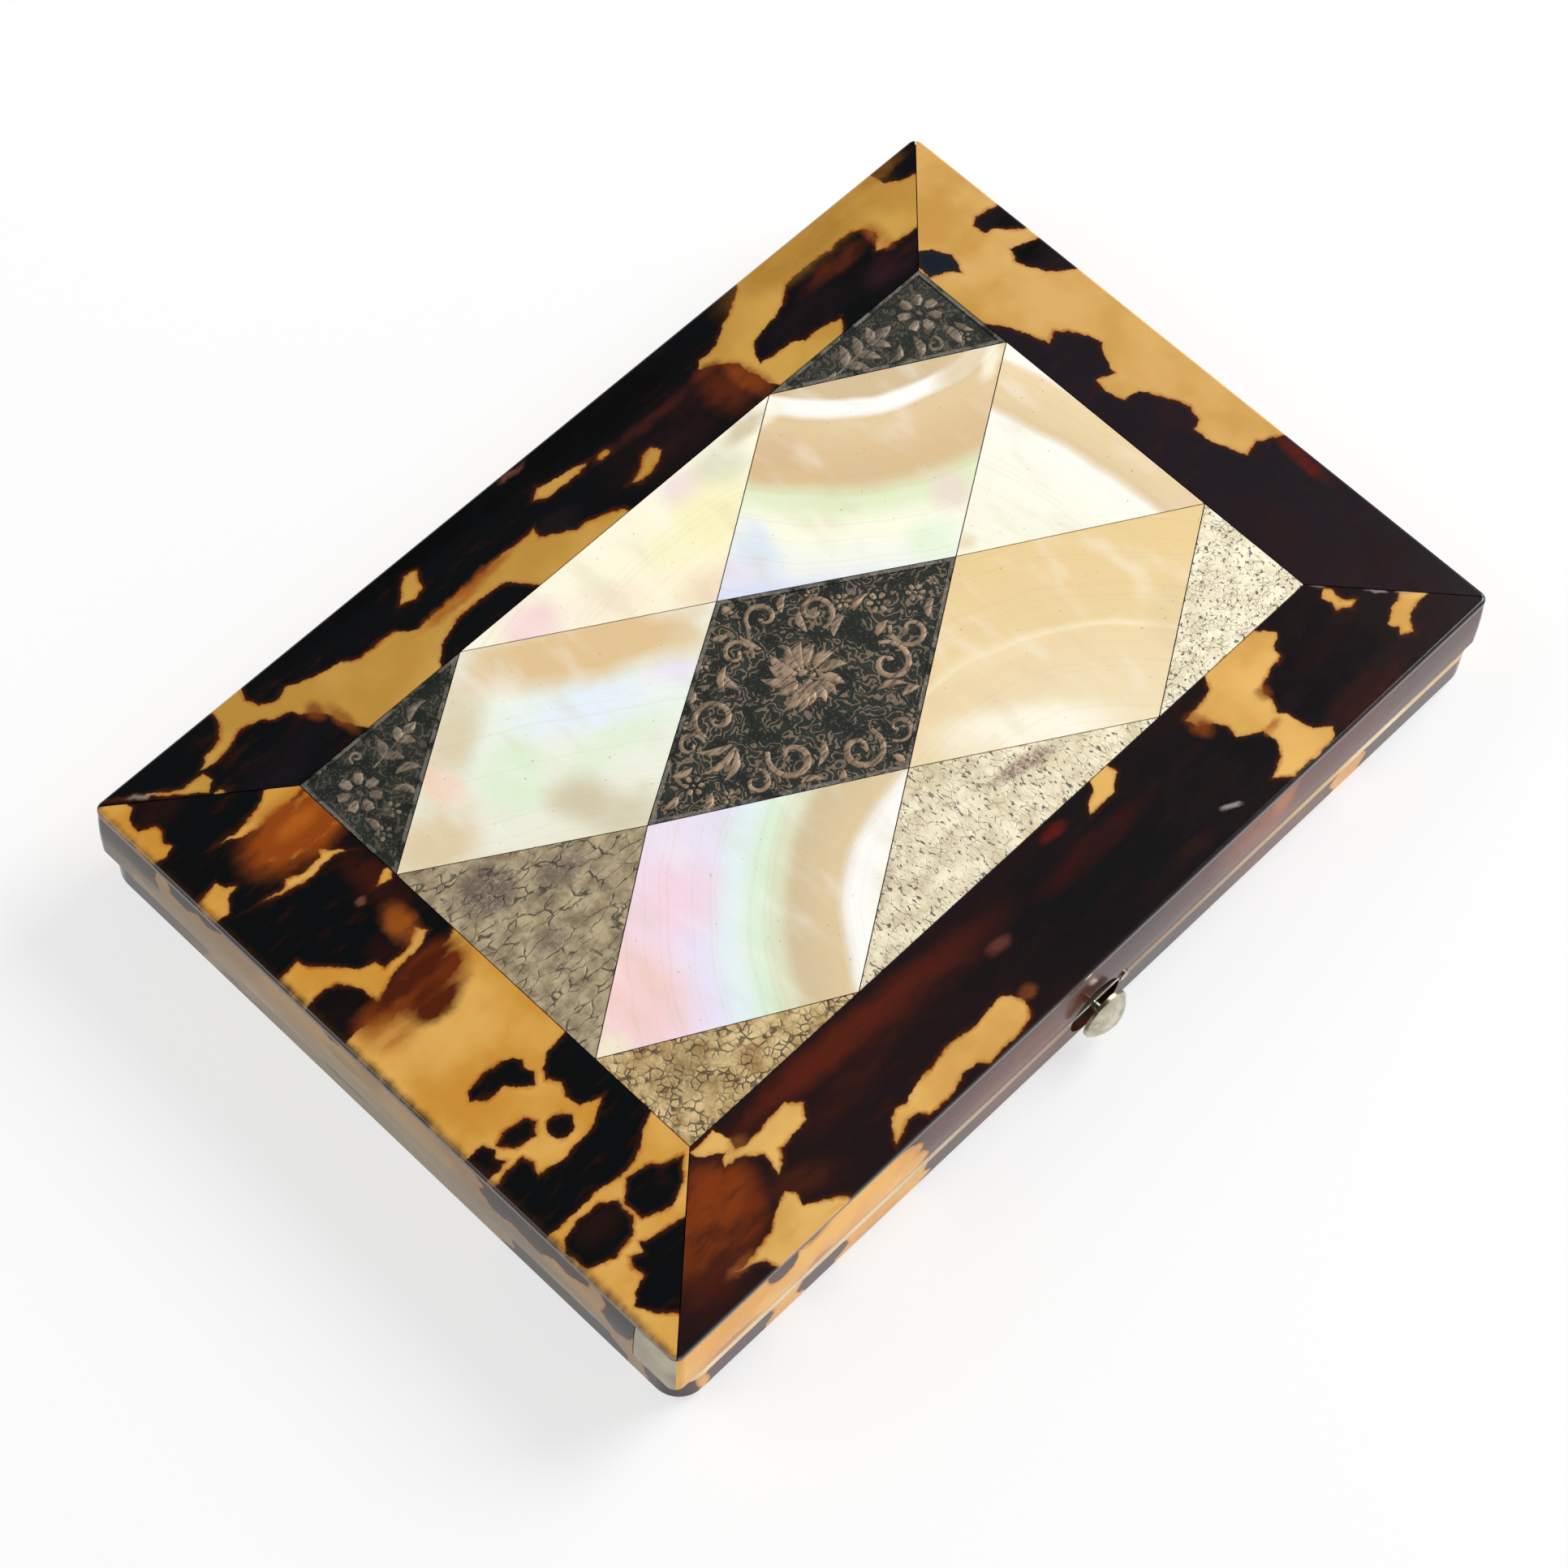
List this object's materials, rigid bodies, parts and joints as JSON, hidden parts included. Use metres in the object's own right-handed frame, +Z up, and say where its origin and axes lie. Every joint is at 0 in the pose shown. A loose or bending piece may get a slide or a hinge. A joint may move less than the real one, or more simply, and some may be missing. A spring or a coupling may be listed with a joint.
{
  "type": "card case",
  "caption": "Shallow book-form card case with a hinged inlaid lid, bone-edged seam, push-button catch and pleated silk card pockets inside.",
  "frame": {"origin": "on the flat underside, below the middle of the lid, on the surface that the case lies on", "axes": "+X along the case's long side, +Y towards the hinge, -Y towards the button, +Z up through the inlaid lid"},
  "size_m": [0.1048, 0.0759, 0.0125],
  "materials": {
    "tortoiseshell": "polished tortoiseshell veneer, honey with dark brown blotches",
    "mother_of_pearl": "polished mother-of-pearl, soft colour bands",
    "engraved_silver": "engraved white metal, blackened ground",
    "worn_silver": "crackled and worn pale leaf",
    "bone": "smooth bone",
    "carcass_wood": "plain thin board",
    "silk_board": "card covered in ribbed silk",
    "silk": "pleated silk",
    "nickel_silver": "worn nickel silver",
    "spring_steel": "blued spring steel",
    "brass": "dull brass"
  },
  "bodies": {
    "base": {"base_tray": "carcass_wood", "base_under_veneer": "tortoiseshell", "base_front_veneer": "tortoiseshell", "base_right_veneer": "tortoiseshell", "base_back_veneer": "tortoiseshell", "base_left_veneer": "tortoiseshell", "base_rim_front": "bone", "base_rim_right": "bone", "base_rim_back": "bone", "base_rim_left": "bone", "base_lining": "silk_board", "hinge_base_leaf": "nickel_silver", "hinge_base_pins": "brass", "hinge_pin": "spring_steel", "catch_bridge": "nickel_silver", "button_bush": "brass", "catch_housing": "brass", "catch_housing_pins": "brass", "catch_spring": "spring_steel", "gusset_right": "silk", "gusset_left": "silk", "spine_silk": "silk"},
    "lid": {"lid_tray": "carcass_wood", "lid_front_veneer": "tortoiseshell", "lid_right_veneer": "tortoiseshell", "lid_back_veneer": "tortoiseshell", "lid_left_veneer": "tortoiseshell", "lid_corner_patch": "bone", "frame_front": "tortoiseshell", "frame_right": "tortoiseshell", "frame_back": "tortoiseshell", "frame_left": "tortoiseshell", "pearl_lozenge_far_back": "mother_of_pearl", "pearl_lozenge_far_front": "mother_of_pearl", "pearl_lozenge_near_back": "mother_of_pearl", "pearl_lozenge_near_front": "mother_of_pearl", "pearl_half_far": "mother_of_pearl", "pearl_half_back": "mother_of_pearl", "engraved_lozenge_middle": "engraved_silver", "engraved_corner_far_back": "engraved_silver", "engraved_corner_near_back": "engraved_silver", "silver_corner_far_front": "worn_silver", "silver_half_front": "worn_silver", "silver_half_near": "worn_silver", "silver_corner_near_front": "worn_silver", "lid_lining": "silk_board", "hinge_lid_leaf": "nickel_silver", "hinge_lid_pins": "brass", "keeper": "brass", "keeper_pins": "brass"},
    "button": {"catch_button": "nickel_silver", "latch": "spring_steel"},
    "leaf_1": {"card_leaf_1": "silk_board"},
    "leaf_2": {"card_leaf_2": "silk_board"},
    "leaf_3": {"card_leaf_3": "silk_board"}
  },
  "joints": [
    {"name": "lid_hinge", "type": "hinge", "parent": "base", "child": "lid", "pos_m": [0, 0.0363, 0.00537], "axis": [-1, 0, 0], "range_deg": [0, 75], "deforming": ["gusset_right", "gusset_left", "spine_silk"]},
    {"name": "button_press", "type": "slide", "parent": "base", "child": "button", "axis": [0, 1, 0], "range_m": [0, 0.0006], "stiffness_N_per_m": 250, "springref_m": -0.001, "deforming": ["catch_spring"]},
    {"name": "leaf_1_hinge", "type": "hinge", "parent": "base", "child": "leaf_1", "pos_m": [0, 0.0363, 0.00537], "axis": [-1, 0, 0], "range_deg": [0, 18.75]},
    {"name": "leaf_2_hinge", "type": "hinge", "parent": "base", "child": "leaf_2", "pos_m": [0, 0.0363, 0.00537], "axis": [-1, 0, 0], "range_deg": [0, 37.5]},
    {"name": "leaf_3_hinge", "type": "hinge", "parent": "base", "child": "leaf_3", "pos_m": [0, 0.0363, 0.00537], "axis": [-1, 0, 0], "range_deg": [0, 56.25]}
  ],
  "couplings": [
    {"joint": "leaf_1_hinge", "follows": "lid_hinge", "ratio": 0.25},
    {"joint": "leaf_2_hinge", "follows": "lid_hinge", "ratio": 0.5},
    {"joint": "leaf_3_hinge", "follows": "lid_hinge", "ratio": 0.75}
  ]
}
